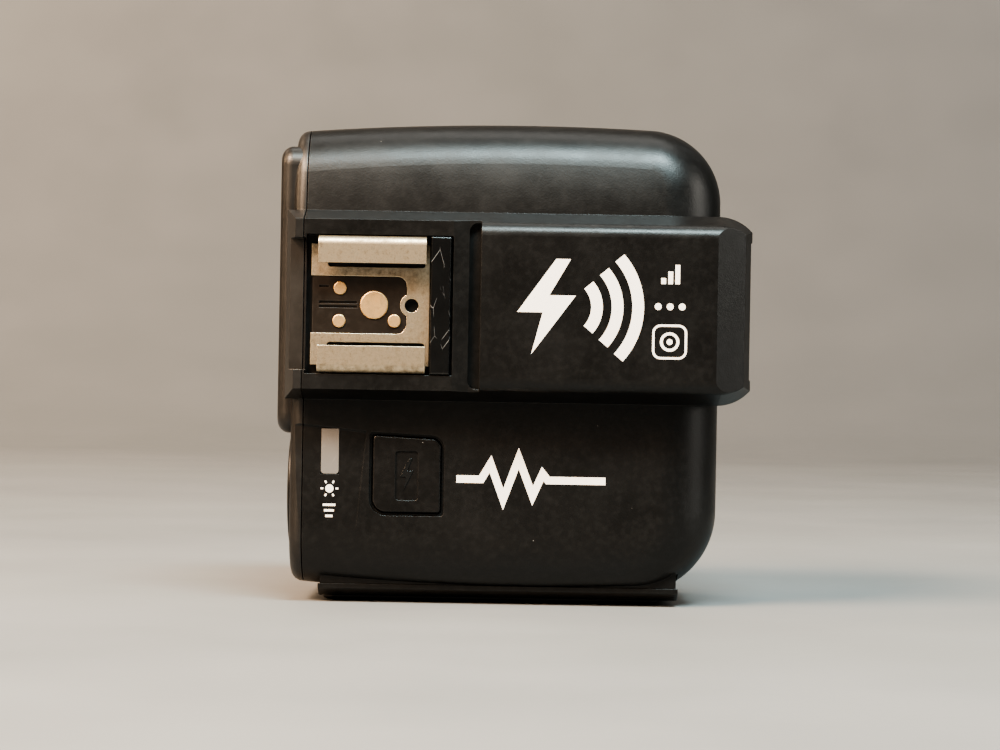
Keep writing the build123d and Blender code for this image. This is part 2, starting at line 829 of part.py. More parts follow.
with BuildPart() as contact_block:
    with BuildSketch(Plane.XZ.offset(-pocket_y)):
        block_x_mid, block_length = span(plate_rear_x + clearance, window_front_x - insert_gap)
        with Locations((block_x_mid, spine_z)):
            Rectangle(block_length, 2 * (window_half - insert_gap))
        fillet(vertices().group_by(Axis.X)[-1], window_radius)
        with Locations((boss_x, spine_z)):
            Circle(boss_radius + insert_gap, mode=Mode.SUBTRACT)
    extrude(amount=shoe_sheet - insert_gap)
    leg_x = (contact_room_x[0] + clearance, contact_room_x[1] - clearance)
    leg_z = (contact_room_z[0] + insert_gap, contact_room_z[1] - insert_gap)
    add(block(leg_x, (pocket_y, shoulder_y + wall), leg_z))
    groove_y = (plate_top_y - over, plate_top_y + groove_depth)
    for front, low, high in insert_grooves:
        add(block((lip_rear_x, front), groove_y, (spine_z + low, spine_z + high)), mode=Mode.SUBTRACT)
    small_spots = [(x, spine_z + dz) for x, dz in small_contact_spots]
    for radius, spots in ((centre_contact_radius, [(shoe_x, spine_z)]), (small_contact_radius, small_spots)):
        add(rod(radius, plate_top_y - over, contact_back_y, spots), mode=Mode.SUBTRACT)
save(contact_block, "contact_block")

with BuildPart() as centre_contact:
    add(rod(centre_contact_radius, plate_top_y - contact_proud, contact_back_y, [(shoe_x, spine_z)]))
    fillet(faces().sort_by(Axis.Y)[0].edges(), contact_edge)
save(centre_contact, "centre_contact")

with BuildPart() as small_contacts:
    add(rod(small_contact_radius, plate_top_y - contact_proud, contact_back_y, small_spots))
    fillet(faces().group_by(Axis.Y)[0].edges(), small_contact_edge)
save(small_contacts, "small_contacts")

with BuildPart() as shoe_backstop:
    stop_z = (spine_z - stop_half, spine_z + stop_half)
    add(block((stop_rear_x, stop_front_x), (frame_y - stop_proud, pocket_y), stop_z))
    fillet(faces().sort_by(Axis.Y)[0].edges(), stop_edge)
save(shoe_backstop, "shoe_backstop")

# ==== Status light and test button ====

with BuildPart() as status_light:
    with BuildSketch(Plane.XZ.offset(-shoulder_y - panel_depth / 2)):
        with Locations((light_x, light_z)):
            Rectangle(light_width - pane_gap, light_length - pane_gap)
        fillet(vertices().group_by(Axis.Y)[0], small_corner)
    extrude(amount=-wall - panel_depth)
    leg_width, leg_length = light_leg
    light_leg_x = (light_x - leg_width / 2, light_x + leg_width / 2)
    light_leg_z = (light_z - leg_length / 2, light_z + leg_length / 2)
    add(block(light_leg_x, (shoulder_y + wall, light_back_y), light_leg_z))
save(status_light, "status_light")

test_top_y = shoulder_y - clearance / 2
test_x = (test_left_x + test_right_x) / 2
test_z = (test_low_z + test_high_z - test_drop) / 2
test_switch_z = test_z + test_switch_rise

with BuildPart() as test_button:
    add(test_prism(test_margin, test_top_y, inner_shoulder_y + clearance))
    fillet(faces().sort_by(Axis.Y)[0].edges(), test_edge)
    add(test_prism(-test_margin, inner_shoulder_y + touch_gap, inner_shoulder_y + test_margin))
    stem_end_y = test_switch_y[0] - test_travel - touch_gap
    add(rod(test_stem, inner_shoulder_y, stem_end_y, [(test_x, test_switch_z)]))
    with BuildSketch(Plane.XZ.offset(-test_top_y)):
        with Locations((test_x, test_z)):
            RectangleRounded(*label_size, small_corner)
    extrude(amount=-label_depth, mode=Mode.SUBTRACT)
save(test_button, "test_button")

with BuildPart() as test_switch:
    with BuildSketch(Plane.XZ.offset(-main_board_y)):
        with Locations((test_x, test_switch_z)):
            Rectangle(*test_switch_size)
    extrude(amount=main_board_y - test_switch_y[1])
    add(rod(test_stem - clearance, *test_switch_y, [(test_x, test_switch_z)]))
save(test_switch, "test_switch")

# ==== Display ====

with BuildPart() as display_window:
    with BuildSketch(Plane.YZ.offset(-end_x + window_recess)):
        with Locations((display_y, display_z)):
            RectangleRounded(display_height - pane_gap, display_width - pane_gap, window_corner)
    extrude(amount=window_thickness)
save(display_window, "display_window")

with BuildPart() as display_module:
    module_x_range = (window_back_x + touch_gap, window_back_x + module_thickness)
    inset_y = (module_y_range[0] + clearance, module_y_range[1] - clearance)
    inset_z = (module_z_range[0] + clearance, module_z_range[1] - clearance)
    add(block(module_x_range, inset_y, inset_z))
    chamfer(edges().filter_by(Axis.X), module_edge)
save(display_module, "display_module")

with BuildPart() as backlight_panel:
    backlight_x = module_x_range[1] + touch_gap
    add(block((backlight_x, backlight_x + backlight_thickness), inset_y, inset_z))
    chamfer(edges().filter_by(Axis.X), module_edge)
save(backlight_panel, "backlight_panel")

# ==== Dial and keys ====

flange_near_x = inner_rear_x + touch_gap
flange_far_x = flange_near_x + flange_thickness

with BuildPart() as select_dial:
    with BuildSketch(Plane.YZ.offset(dial_face_x)):
        with Locations((dial_y, dial_z)):
            Circle(dial_radius)
            Circle(dial_bore, mode=Mode.SUBTRACT)
    extrude(amount=flange_far_x - dial_face_x)
    fillet(faces().sort_by(Axis.X)[0].edges(), dial_edge)
    with BuildSketch(Plane.YZ.offset(flange_near_x)):
        with Locations((dial_y, dial_z)):
            Circle(dial_radius + flange_reach)
            Circle(dial_bore, mode=Mode.SUBTRACT)
    extrude(amount=flange_far_x - flange_near_x)
    with BuildSketch(Plane.YZ.offset(dial_face_x)):
        with Locations((dial_y, dial_z)):
            with PolarLocations(dial_radius - ridge_size[0], dial_ridges):
                SlotOverall(*ridge_size)
    extrude(amount=ridge_depth, mode=Mode.SUBTRACT)
save(select_dial, "select_dial")

with BuildPart() as set_button:
    add(disc_x(dial_y, dial_z, set_radius, (key_face_x + set_recess, inner_rear_x)))
    fillet(faces().sort_by(Axis.X)[0].edges(), set_edge)
    add(disc_x(dial_y, dial_z, set_stem, (inner_rear_x, set_switch_x - key_travel)))
save(set_button, "set_button")

with BuildPart() as dial_encoder:
    with BuildSketch(Plane.YZ.offset(flange_far_x + touch_gap)):
        with Locations((dial_y, dial_z)):
            Circle(encoder_radius)
            Circle(encoder_bore, mode=Mode.SUBTRACT)
    extrude(amount=board_x - flange_far_x - touch_gap)
save(dial_encoder, "dial_encoder")

for name, z in key_spots.items():
    with BuildPart() as key:
        add(key_prism(z, 0, (key_face_x, key_back_x)))
        fillet(faces().sort_by(Axis.X)[0].edges(), key_edge)
    save(key, name)

mat_near_x = key_back_x + key_travel + touch_gap
key_z_values = list(key_spots.values())

with BuildPart() as keypad_mat:
    mat_z = (key_z_values[0] - mat_margin, key_z_values[-1] + mat_margin)
    add(block((mat_near_x, mat_near_x + mat_thickness), mat_y, mat_z))
    chamfer(edges().filter_by(Axis.X), mat_corner)
save(keypad_mat, "keypad_mat")

with BuildPart() as key_switches:
    for z in key_z_values:
        switch_x = (mat_near_x + mat_thickness + touch_gap, board_x)
        switch_y = (key_y - key_switch_half, key_y + key_switch_half)
        add(block(switch_x, switch_y, (z - key_switch_half, z + key_switch_half)))
    add(disc_x(dial_y, dial_z, set_stem + clearance, (set_switch_x + touch_gap, board_x)))
save(key_switches, "key_switches")

with BuildPart() as control_board:
    add(block((board_x, board_x + board_thickness), board_y, board_z))
    fillet(edges().filter_by(Axis.X), control_board_corner)
save(control_board, "control_board")

# ==== Electronics ====

with BuildPart() as main_board:
    add(block(main_board_x, (main_board_y, board_back_y), main_board_z))
    chamfer(edges().filter_by(Axis.Y).sort_by(Axis.X)[-2:], board_corner)
    cut_y = (main_board_y - over, board_back_y + over)
    add(rod(boss_outer + clearance, *cut_y, screw_spots), mode=Mode.SUBTRACT)
    # Notch that clears the lamp's holder
    notch_z = (spine_z - holder_half - clearance, spine_z + holder_half + clearance)
    add(block((holder_rear_x - board_corner, end_x), cut_y, notch_z), mode=Mode.SUBTRACT)
save(main_board, "main_board")

with BuildPart() as radio_module:
    add(block(radio_x, (board_back_y, board_back_y + radio_height), radio_z))
    fillet(edges().filter_by(Axis.Y), radio_corner)
save(radio_module, "radio_module")

with BuildPart() as antenna:
    antenna_y = (board_back_y, board_back_y + antenna_height)
    turn_x = antenna_x[1] - antenna_track
    half_x = (antenna_x[0] + antenna_x[1]) / 2
    add(block(antenna_x, antenna_y, (antenna_z[1] - antenna_track, antenna_z[1])))
    add(block((turn_x, antenna_x[1]), antenna_y, antenna_z))
    add(block((half_x, antenna_x[1]), antenna_y, (antenna_z[0], antenna_z[0] + antenna_track)))
save(antenna, "antenna")

with BuildPart() as buzzer:
    buzzer_far_y = board_back_y + buzzer_height
    add(rod(buzzer_radius, board_back_y, buzzer_far_y, [buzzer_spot]))
    add(rod(buzzer_hole, buzzer_far_y - buzzer_hole, buzzer_far_y + over, [buzzer_spot]), mode=Mode.SUBTRACT)
save(buzzer, "buzzer")

with BuildPart() as usb_port:
    usb_top_z = high_z - usb_recess
    usb_low_z = usb_top_z - usb_depth
    mouth_z = (usb_low_z + usb_wall, high_z)
    add(slot_z(usb_x, side_y, usb_width, usb_height, (usb_low_z, usb_top_z)))
    add(slot_z(usb_x, side_y, usb_width - usb_wall, usb_height - usb_wall, mouth_z), mode=Mode.SUBTRACT)
    with BuildSketch(Plane.XY.offset(usb_low_z + usb_wall / 2)):
        with Locations((usb_x, side_y)):
            Rectangle(*usb_tongue)
    extrude(amount=usb_depth - usb_wall - usb_recess)
save(usb_port, "usb_port")

with BuildPart() as sync_jack:
    jack_top_z = high_z - jack_recess
    jack_body_z = inner_high_z - jack_collar
    jack_body_y = (side_y - jack_nose, side_y + jack_nose)
    add(disc_z(jack_x, side_y, jack_nose, (jack_body_z, jack_top_z)))
    add(block((jack_x - jack_nose, jack_x + jack_nose), jack_body_y, (jack_low_z, jack_body_z)))
    add(disc_z(jack_x, side_y, jack_bore, (jack_top_z - jack_depth, jack_top_z + over)), mode=Mode.SUBTRACT)
save(sync_jack, "sync_jack")

# ==== Slide switches ====

slider_floor_z = slider_top_z - slider_flange
slider_half = knob_length / 2 + switch_travel + clearance
rib_pitch, rib_width, rib_depth = slider_ribs

for name, x in switch_spots.items():
    knob_x = x - switch_travel / 2
    with BuildPart() as slider:
        add(slot_z(knob_x, side_y, knob_length, switch_width - 2 * clearance, (slider_top_z, knob_top_z)))
        with BuildSketch(Plane.XY.offset(knob_top_z)):
            with GridLocations(rib_pitch, rib_pitch, 3, 1):
                with Locations((knob_x, side_y)):
                    Rectangle(rib_width, 2 * switch_width)
        extrude(amount=-rib_depth, mode=Mode.SUBTRACT)
        flange_x = (knob_x - slider_half, knob_x + slider_half)
        flange_y = (side_y - slider_flange_half, side_y + slider_flange_half)
        add(block(flange_x, flange_y, (slider_floor_z, slider_top_z)))
        nib_y = (side_y - slider_nib, side_y + slider_nib)
        nib_z = (slider_floor_z - slider_nib_depth, slider_floor_z)
        add(block((knob_x - slider_nib, knob_x + slider_nib), nib_y, nib_z))
    save(slider, name)

with BuildPart() as slide_switches:
    half_x, half_y = switch_half
    room_x, room_y, room_low_z = switch_room
    can_z = (switch_low_z, slider_floor_z - touch_gap)
    for x in switch_spots.values():
        add(block((x - half_x, x + half_x), (side_y - half_y, side_y + half_y), can_z))
        nib_room_y = (side_y - room_y, side_y + room_y)
        add(block((x - room_x, x + room_x), nib_room_y, (room_low_z, slider_top_z)), mode=Mode.SUBTRACT)
save(slide_switches, "slide_switches")

# ==== Battery bay ====

with BuildPart() as battery_tray:
    tray_x = (bay_rear_x - tray_wall, bay_front_x + tray_wall)
    tray_y = (bay_y_range[0] - tray_wall, bay_y_range[1] + tray_wall)
    add(block(tray_x, tray_y, (tray_low_z, tray_top_z)))
    add(block((bay_rear_x, bay_front_x), bay_y_range, (0, tray_top_z - tray_wall)), mode=Mode.SUBTRACT)
    add(body_block(wall + touch_gap), mode=Mode.INTERSECT)
save(battery_tray, "battery_tray")

cell_spots = [cell_y - cell_pitch / 2, cell_y + cell_pitch / 2]
cell_low_x = bay_rear_x + contact_thickness + touch_gap
cell_high_x = bay_front_x - contact_thickness - touch_gap

with BuildPart() as battery_cell_1:
    can_high_x = cell_high_x - cell_button
    add(disc_x(cell_spots[0], cell_z, cell_radius, (can_high_x - cell_length, can_high_x)))
    fillet(edges(), cell_edge)
    add(disc_x(cell_spots[0], cell_z, cell_button_radius, (can_high_x, cell_high_x)))
save(battery_cell_1, "battery_cell_1")

with BuildPart() as battery_cell_2:
    can_low_x = cell_low_x + cell_button
    add(disc_x(cell_spots[1], cell_z, cell_radius, (can_low_x, can_low_x + cell_length)))
    fillet(edges(), cell_edge)
    add(disc_x(cell_spots[1], cell_z, cell_button_radius, (cell_low_x, can_low_x)))
save(battery_cell_2, "battery_cell_2")

with BuildPart() as battery_contacts:
    plate_width, plate_low_z, plate_high_z = contact_plate
    for x in (bay_rear_x, bay_front_x - contact_thickness):
        for y in cell_spots:
            contact_y = (y - plate_width / 2, y + plate_width / 2)
            add(block((x, x + contact_thickness), contact_y, (plate_low_z, plate_high_z)))
    link_x = (bay_front_x - contact_thickness, bay_front_x)
    add(block(link_x, (cell_spots[0], cell_spots[1]), contact_link_z))
save(battery_contacts, "battery_contacts")

with BuildPart() as battery_springs:
    coil_starts = (bay_rear_x + contact_thickness, bay_front_x - contact_thickness - 2 * coil_pitch)
    for x, y in zip(coil_starts, cell_spots):
        for turn, radius in enumerate(coil_radii):
            with BuildSketch(Plane.YZ.offset(x + coil_pitch * turn)):
                with Locations((y, cell_z)):
                    Circle(radius)
                    Circle(radius - coil_wire, mode=Mode.SUBTRACT)
            extrude(amount=coil_pitch)
save(battery_springs, "battery_springs")

panel_x = (bay_rear_x + clearance, bay_front_x - door_travel - clearance)
panel_y = (bay_y_range[0] + 2 * clearance, bay_y_range[1] - 2 * clearance)

with BuildPart() as door_room:
    # Space inside the door's thin skin, apart from its panel in the mouth of the bay
    add(side_prism(door_seat, (door_rear_x - over, door_front_x + over)))
    add(block(panel_x, panel_y, (0, door_rim_z)), mode=Mode.SUBTRACT)

with BuildPart() as battery_door:
    add(side_prism(door_skin, (door_rear_x, door_front_x)))
    add(door_room.part, mode=Mode.SUBTRACT)
    add(block((door_rear_x, door_front_x), (-door_half, door_half), (0, door_rim_z)), mode=Mode.INTERSECT)
    # Pad that the trigger stands on, with finger grooves
    with BuildSketch(Plane.XY):
        pad_x_mid, pad_length = span(door_rear_x + pad_edge, pad_front_x)
        pad_y_mid, pad_width = span(*pad_y)
        with Locations((pad_x_mid, pad_y_mid)):
            RectangleRounded(pad_length, pad_width, pad_corner)
    extrude(amount=low_z - door_seat)
    fillet(faces().sort_by(Axis.Z)[0].edges(), pad_edge)
    for step in range(door_grooves):
        groove_x = pad_front_x - door_groove_pitch * (step + 2)
        groove_x_range = (groove_x, groove_x + door_groove_pitch / 2)
        groove_y_range = (pad_y_mid - door_groove_half, pad_y_mid + door_groove_half)
        add(block(groove_x_range, groove_y_range, (-over, pad_edge)), mode=Mode.SUBTRACT)
    # Tongue that hooks behind the shell's rear edge
    root_x = (bay_rear_x + clearance, bay_rear_x + clearance + neck_length)
    tongue_y = (cell_y - tongue_width / 2, cell_y + tongue_width / 2)
    add(block(root_x, tongue_y, (low_z - door_seat, tongue_high_z)))
    add(block((bay_rear_x - tongue_reach, root_x[1]), tongue_y, (tongue_low_z, tongue_high_z)))
save(battery_door, "battery_door")

# ==== Foot ====

with BuildPart() as foot:
    # Neck between the lips of a camera's shoe, rounded so that the lock plate slides over it
    neck_z = (spine_z - neck_width / 2, spine_z + neck_width / 2)
    add(rod(collar_radius, under_y, foot_bottom_y - foot_plate, [(foot_x, spine_z)]))
    neck_x = (foot_x - neck_half, foot_x + neck_half)
    add(block(neck_x, (under_y, foot_bottom_y), neck_z), mode=Mode.INTERSECT)
    add(rod(collar_radius, under_y, collar_end_y, [(foot_x, spine_z)]))
    with BuildSketch(Plane.XZ.offset(-foot_bottom_y)):
        with Locations((foot_x, spine_z)):
            RectangleRounded(foot_width, foot_width, foot_corner)
    extrude(amount=foot_plate)
    chamfer(faces().sort_by(Axis.Y)[-1].edges(), clearance)
    add(rod(screw_radius, under_y - over, foot_pin_top_y, foot_screw_spots), mode=Mode.SUBTRACT)
    pin_spots = [(foot_x + x - shoe_x, spine_z + dz) for x, dz in small_contact_spots]
    centre_spot = [(foot_x, spine_z)]
    lock_spot = [(foot_x + boss_x - shoe_x, spine_z)]
    pins = ((foot_pin_radius, pin_spots), (foot_centre_radius, centre_spot), (lock_pin_radius, lock_spot))
    for radius, spots in pins:
        pin_bore = rod(radius + touch_gap, foot_pin_top_y - foot_pin_room, foot_bottom_y + over, spots)
        add(pin_bore, mode=Mode.SUBTRACT)
save(foot, "foot")

with BuildPart() as foot_bracket:
    bracket_x = (foot_x - bracket_half, foot_x + bracket_half)
    bracket_z = (spine_z - bracket_half, spine_z + bracket_half)
    add(block(bracket_x, (inner_under_y - bracket_thickness, inner_under_y), bracket_z))
    fillet(edges().filter_by(Axis.Y), bracket_thickness)
    add(rod(screw_radius + clearance, inner_under_y - over, under_y, foot_screw_spots), mode=Mode.SUBTRACT)
save(foot_bracket, "foot_bracket")

with BuildPart() as foot_screws:
    bracket_near_y = inner_under_y - bracket_thickness
    foot_head_radius, foot_head_height = foot_screw_head
    slot_length, slot_width, slot_depth = driver_slot
    foot_head_y = bracket_near_y - foot_head_height
    add(rod(foot_head_radius, foot_head_y, bracket_near_y, foot_screw_spots))
    add(rod(screw_radius - touch_gap, bracket_near_y, foot_pin_top_y - clearance, foot_screw_spots))
    with BuildSketch(Plane.XZ.offset(-foot_head_y)):
        with Locations(*foot_screw_spots):
            Rectangle(slot_length, slot_width)
    extrude(amount=-slot_depth, mode=Mode.SUBTRACT)
save(foot_screws, "foot_screws")

with BuildPart() as lock_ring:
    with BuildSketch(Plane.XZ.offset(-ring_far_y)):
        with Locations((foot_x, spine_z)):
            Circle(ring_radius)
            with PolarLocations(ring_radius + lobe_offset, ring_lobes):
                Circle(lobe_radius, mode=Mode.SUBTRACT)
            Circle(collar_radius + running_gap, mode=Mode.SUBTRACT)
    extrude(amount=ring_far_y - ring_near_y)
save(lock_ring, "lock_ring")

with BuildPart() as lock_plate:
    add(rod(lock_plate_radius, ring_far_y, ring_far_y + lock_plate_thickness, [(foot_x, spine_z)]))
    bore_y = (ring_far_y - over, ring_far_y + over)
    add(rod(collar_radius + running_gap, *bore_y, [(foot_x, spine_z)]), mode=Mode.SUBTRACT)
save(lock_plate, "lock_plate")

with BuildPart() as lock_pin:
    add(rod(lock_pin_radius, foot_pin_top_y, foot_bottom_y - clearance, lock_spot))
    chamfer(faces().sort_by(Axis.Y)[-1].edges(), clearance)
save(lock_pin, "lock_pin")

with BuildPart() as foot_centre_pin:
    add(rod(foot_centre_radius, foot_pin_top_y, foot_bottom_y + foot_pin_proud, centre_spot))
    fillet(faces().sort_by(Axis.Y)[-1].edges(), centre_pin_edge)
save(foot_centre_pin, "foot_centre_pin")

with BuildPart() as foot_small_pins:
    add(rod(foot_pin_radius, foot_pin_top_y, foot_bottom_y + foot_pin_proud, pin_spots))
    fillet(faces().group_by(Axis.Y)[-1].edges(), small_pin_edge)
save(foot_small_pins, "foot_small_pins")

with BuildPart() as housing_screws:
    head_far_y = under_y - head_depth + head_height
    add(rod(head_radius, under_y - head_depth, head_far_y, screw_spots))
    add(rod(screw_radius, post_top_y + wall, under_y - head_depth, screw_spots))
    with BuildSketch(Plane.XZ.offset(-head_far_y)):
        with Locations(*screw_spots):
            Rectangle(slot_length, slot_width)
            Rectangle(slot_width, slot_length)
    extrude(amount=slot_depth, mode=Mode.SUBTRACT)
save(housing_screws, "housing_screws")
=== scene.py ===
"""Looks of a wireless flash trigger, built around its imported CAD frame.

The frame gives every place and size. This script gives each CAD piece a finish, adds the
printed signs, and sets the floor, the light and the camera.
"""

import json
import math
from functools import partial

import bmesh
import bpy
from mathutils import Matrix, Vector


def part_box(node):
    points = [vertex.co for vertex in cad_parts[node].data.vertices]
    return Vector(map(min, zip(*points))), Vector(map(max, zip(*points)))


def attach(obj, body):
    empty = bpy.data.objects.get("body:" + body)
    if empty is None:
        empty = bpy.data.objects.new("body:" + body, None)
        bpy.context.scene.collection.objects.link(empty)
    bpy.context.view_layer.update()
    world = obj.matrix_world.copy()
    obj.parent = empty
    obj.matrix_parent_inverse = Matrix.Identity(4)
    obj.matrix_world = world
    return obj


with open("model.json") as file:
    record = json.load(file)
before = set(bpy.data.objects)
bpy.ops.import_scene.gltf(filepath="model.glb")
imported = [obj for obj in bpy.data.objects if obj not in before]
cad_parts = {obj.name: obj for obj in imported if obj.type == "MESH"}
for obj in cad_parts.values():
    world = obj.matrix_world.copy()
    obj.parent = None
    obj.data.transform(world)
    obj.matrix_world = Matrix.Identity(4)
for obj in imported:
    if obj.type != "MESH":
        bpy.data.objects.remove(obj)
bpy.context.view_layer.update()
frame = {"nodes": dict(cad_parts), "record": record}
nodes = frame["nodes"]

MM = 0.001


# ---------------------------------------------------------------- material helpers

BEVEL_SAMPLES = 6
# The dot product of the rounded and the plain normal, on a flat face and on a sharp edge.
FLAT_DOT, EDGE_DOT = 0.995, 0.80
# Sockets of a Mix node that mixes colours. Their names repeat, so they go by number.
MIX_FACTOR, MIX_FIRST, MIX_SECOND, MIX_RESULT = 0, 6, 7, 2


class Finish:
    """A Principled material with short ways to add its nodes. Sizes are in millimetres."""

    def __init__(self, name, colour, roughness, **sockets):
        self.material = bpy.data.materials.new(name)
        self.material.use_nodes = True
        self.tree = self.material.node_tree
        self.shader = self.tree.nodes["Principled BSDF"]
        self.shader.inputs["Base Color"].default_value = (*colour, 1)
        self.shader.inputs["Roughness"].default_value = roughness
        for socket, value in sockets.items():
            self.shader.inputs[socket.replace("_", " ")].default_value = value
        self.place = self.node("ShaderNodeTexCoord").outputs["Object"]
        self.normal = None

    def node(self, kind, **properties):
        """Adds a node and sets its properties."""
        made = self.tree.nodes.new(kind)
        for name, value in properties.items():
            setattr(made, name, value)
        return made

    def link(self, source, target):
        self.tree.links.new(source, target)

    def fill(self, socket, value):
        """Gives a socket another node's output, a number or a colour."""
        if isinstance(value, bpy.types.NodeSocket):
            self.link(value, socket)
        elif isinstance(value, tuple):
            socket.default_value = (*value, 1)
        else:
            socket.default_value = value

    def places(self, stretch):
        """Object coordinates, scaled along each axis if stretch is given."""
        if stretch is None:
            return self.place
        scaled = self.node("ShaderNodeMapping")
        scaled.inputs["Scale"].default_value = stretch
        self.link(self.place, scaled.inputs["Vector"])
        return scaled.outputs["Vector"]

    def noise(self, size, detail=3.0, rough=0.5, stretch=None, offset=0.0):
        """Cloudy noise whose features are about size millimetres."""
        made = self.node("ShaderNodeTexNoise", noise_dimensions="4D")
        made.inputs["Scale"].default_value = 1 / (size * MM)
        made.inputs["Detail"].default_value = detail
        made.inputs["Roughness"].default_value = rough
        made.inputs["W"].default_value = offset
        self.link(self.places(stretch), made.inputs["Vector"])
        return made.outputs["Fac"]

    def cells(self, size, feature="F1", randomness=1.0, stretch=None):
        """Voronoi cells about size millimetres across."""
        made = self.node("ShaderNodeTexVoronoi", feature=feature)
        made.inputs["Scale"].default_value = 1 / (size * MM)
        made.inputs["Randomness"].default_value = randomness
        self.link(self.places(stretch), made.inputs["Vector"])
        return made.outputs

    def ramp(self, value, low, high, out_low=0.0, out_high=1.0):
        """Maps value from low..high to out_low..out_high, and holds it there outside."""
        made = self.node("ShaderNodeMapRange")
        limits = {"From Min": low, "From Max": high, "To Min": out_low, "To Max": out_high}
        for name, number in limits.items():
            made.inputs[name].default_value = number
        self.link(value, made.inputs["Value"])
        return made.outputs["Result"]

    def math(self, operation, first, second):
        """One arithmetic step on a socket and a socket or a number."""
        made = self.node("ShaderNodeMath", operation=operation)
        self.fill(made.inputs[0], first)
        self.fill(made.inputs[1], second)
        return made.outputs["Value"]

    def mix_colour(self, factor, first, second):
        """Mixes two colours, each a socket or three numbers."""
        made = self.node("ShaderNodeMix", data_type="RGBA")
        self.link(factor, made.inputs[MIX_FACTOR])
        self.fill(made.inputs[MIX_FIRST], first)
        self.fill(made.inputs[MIX_SECOND], second)
        return made.outputs[MIX_RESULT]

    def bevel(self, radius):
        """The normal as if every edge were rounded to a radius."""
        made = self.node("ShaderNodeBevel", samples=BEVEL_SAMPLES)
        made.inputs["Radius"].default_value = radius * MM
        return made.outputs["Normal"]

    def edge_mask(self, radius):
        """0 on flat faces and near 1 along sharp edges."""
        rounded = self.bevel(radius)
        plain = self.node("ShaderNodeNewGeometry")
        dot = self.node("ShaderNodeVectorMath", operation="DOT_PRODUCT")
        self.link(rounded, dot.inputs[0])
        self.link(plain.outputs["Normal"], dot.inputs[1])
        return self.ramp(dot.outputs["Value"], FLAT_DOT, EDGE_DOT)

    def colour(self, socket):
        self.link(socket, self.shader.inputs["Base Color"])

    def roughness(self, socket):
        self.link(socket, self.shader.inputs["Roughness"])

    def use_normal(self, socket):
        self.normal = socket
        self.link(socket, self.shader.inputs["Normal"])

    def round_edges(self, radius):
        """Softens sharp edges in the shading, ahead of any bump."""
        self.use_normal(self.bevel(radius))

    def bump(self, height, depth, strength=1.0):
        """Adds bump of depth millimetres from a 0..1 height, on top of any before it."""
        made = self.node("ShaderNodeBump")
        made.inputs["Strength"].default_value = strength
        made.inputs["Distance"].default_value = depth * MM
        self.link(height, made.inputs["Height"])
        if self.normal is not None:
            self.link(self.normal, made.inputs["Normal"])
        self.use_normal(made.outputs["Normal"])


def tinted(colour, factor, lift=0.0, top=math.inf):
    """A colour made lighter or darker, up to a top value."""
    return tuple(min(top, factor * c + lift) for c in colour)


# ---------------------------------------------------------------- finishes

EDGE_ROUNDING = 0.12
RUBBER_ROUNDING = 0.15
DUST_COLOUR = (0.42, 0.40, 0.37)


def moulded(name, colour, roughness, grain=0.22, depth=0.010, dust=0.4, wear=0.35, gloss=0.5):
    """Moulded plastic: spark-eroded grain, handling smudges, shiny worn edges and dust."""
    made = Finish(name, colour, roughness, Specular_IOR_Level=gloss)
    made.round_edges(EDGE_ROUNDING)
    smudge = made.noise(size=9.0, detail=4.0, rough=0.6)
    fine = made.noise(size=0.9, offset=3.0)
    patchy = made.ramp(made.noise(size=1.6, offset=5.0), low=0.35, high=0.65)
    edges = made.math("MULTIPLY", made.edge_mask(radius=0.35), patchy)

    hazy = made.ramp(smudge, low=0.35, high=0.7)
    base = made.mix_colour(hazy, tinted(colour, 0.85), colour)
    mottled = made.ramp(fine, low=0.45, high=0.75, out_high=0.35)
    base = made.mix_colour(mottled, base, tinted(colour, 1.7, lift=0.006, top=1.0))
    rubbed = made.math("MULTIPLY", edges, wear)
    base = made.mix_colour(rubbed, base, tinted(colour, 2.6, lift=0.01))

    specks = made.cells(size=1.9)
    near = made.ramp(specks["Distance"], low=0.045, high=0.02)
    chosen = made.ramp(specks["Color"], low=0.80, high=0.82)
    dusty = made.math("MULTIPLY", made.math("MULTIPLY", near, chosen), dust)
    made.colour(made.mix_colour(dusty, base, DUST_COLOUR))

    spread = 0.07
    edge_shine = 0.16 * wear
    dust_dulling = 0.3
    smoother, rougher = roughness - spread, roughness + spread
    rough = made.ramp(smudge, low=0.3, high=0.75, out_low=smoother, out_high=rougher)
    rough = made.math("SUBTRACT", rough, made.math("MULTIPLY", edges, edge_shine))
    made.roughness(made.math("ADD", rough, made.math("MULTIPLY", dusty, dust_dulling)))

    swell_size = 2.2 * grain
    swell_depth = depth * 0.8
    pits = made.cells(size=grain, feature="SMOOTH_F1")
    made.bump(pits["Distance"], depth)
    made.bump(made.noise(size=swell_size, detail=2.0), swell_depth)
    return made.material


